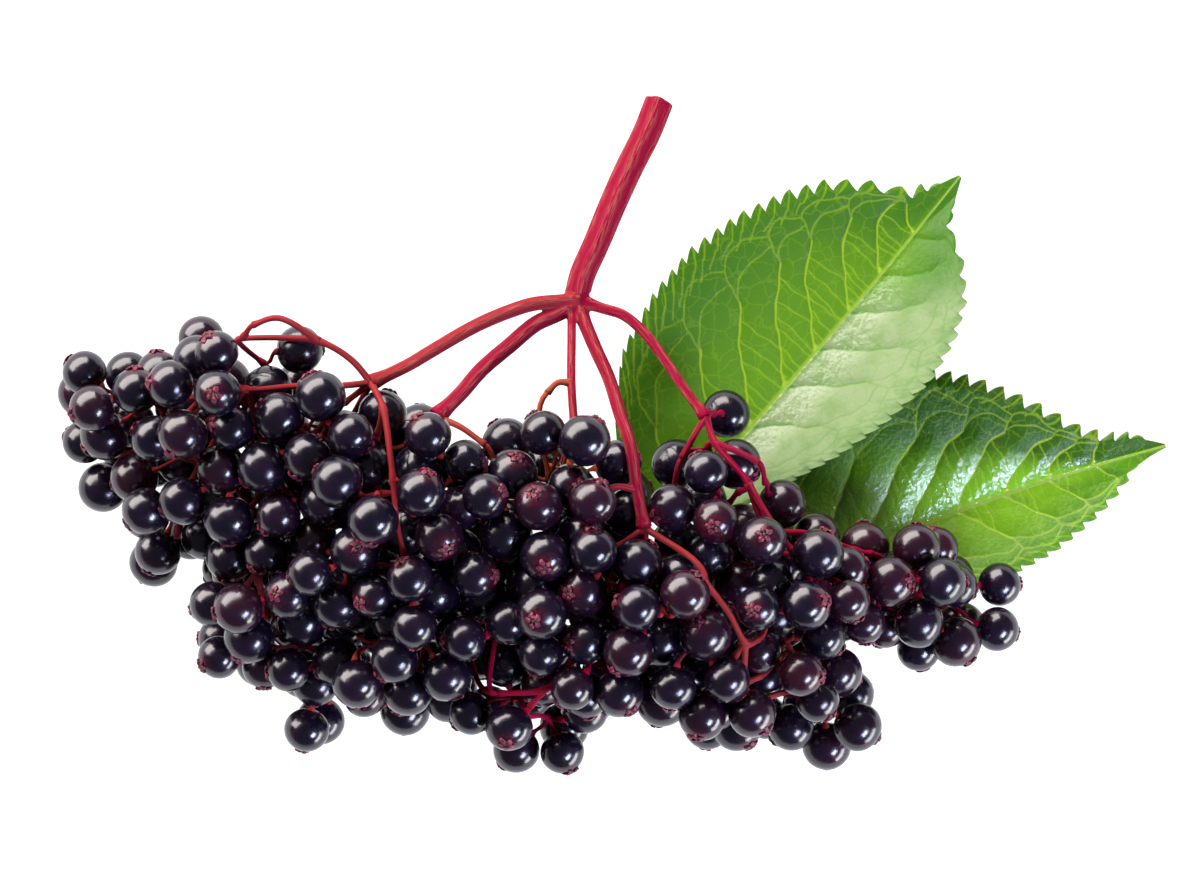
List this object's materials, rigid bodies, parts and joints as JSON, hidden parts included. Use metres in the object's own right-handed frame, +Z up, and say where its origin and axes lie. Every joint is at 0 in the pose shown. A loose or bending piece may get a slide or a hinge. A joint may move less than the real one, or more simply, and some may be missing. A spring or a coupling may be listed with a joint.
{
  "type": "elderberry cluster",
  "caption": "Cut elderberry bunch lying on its side: a red branching stem, sprays of near-black berries and two toothed leaflets under it.",
  "frame": {"origin": "on the table, under the middle of the bunch's box", "axes": "+X along the bunch's longest side, towards the tip of the lower leaflet; +Y towards the cut end of the stem; +Z up from the table"},
  "size_m": [0.1646, 0.1001, 0.0455],
  "materials": {
    "stem_skin": "satin, crimson with paler ridges",
    "berry_skin": "glossy near-black purple skin with a thin bloom",
    "leaf_blade": "satin green with paler veins"
  },
  "bodies": {
    "root": {"stem": "stem_skin", "spray_a1": "berry_skin", "spray_a2b": "berry_skin", "spray_a3": "berry_skin", "spray_a4": "berry_skin", "spray_a5": "berry_skin", "spray_a5b": "berry_skin", "spray_a6": "berry_skin", "spray_a6b": "berry_skin", "spray_a7": "berry_skin", "spray_a8c": "berry_skin", "spray_a10": "berry_skin", "spray_b1": "berry_skin", "spray_b2": "berry_skin", "spray_b4": "berry_skin", "spray_b5": "berry_skin", "spray_c1": "berry_skin", "spray_c2": "berry_skin", "spray_c3": "berry_skin", "spray_d1": "berry_skin", "spray_d2": "berry_skin", "spray_d3": "berry_skin", "spray_e1": "berry_skin", "spray_e1b": "berry_skin", "spray_e2": "berry_skin", "spray_e3": "berry_skin", "spray_e3b": "berry_skin", "spray_e4": "berry_skin", "spray_e5": "berry_skin", "spray_e5b": "berry_skin", "spray_e6": "berry_skin", "spray_e6b": "berry_skin", "spray_e7": "berry_skin", "spray_f1": "berry_skin", "spray_f2": "berry_skin", "spray_f2b": "berry_skin", "spray_f3": "berry_skin", "spray_f3b": "berry_skin", "spray_f4": "berry_skin", "spray_g0": "berry_skin", "spray_g2": "berry_skin", "spray_g4": "berry_skin", "spray_h1": "berry_skin", "spray_h2": "berry_skin", "spray_h3": "berry_skin", "spray_h4": "berry_skin", "spray_h5": "berry_skin", "spray_h6": "berry_skin", "spray_h7": "berry_skin", "spray_h8": "berry_skin", "spray_h9": "berry_skin", "spray_h10": "berry_skin", "leaf_1": "leaf_blade", "leaf_2": "leaf_blade"}
  },
  "joints": []
}
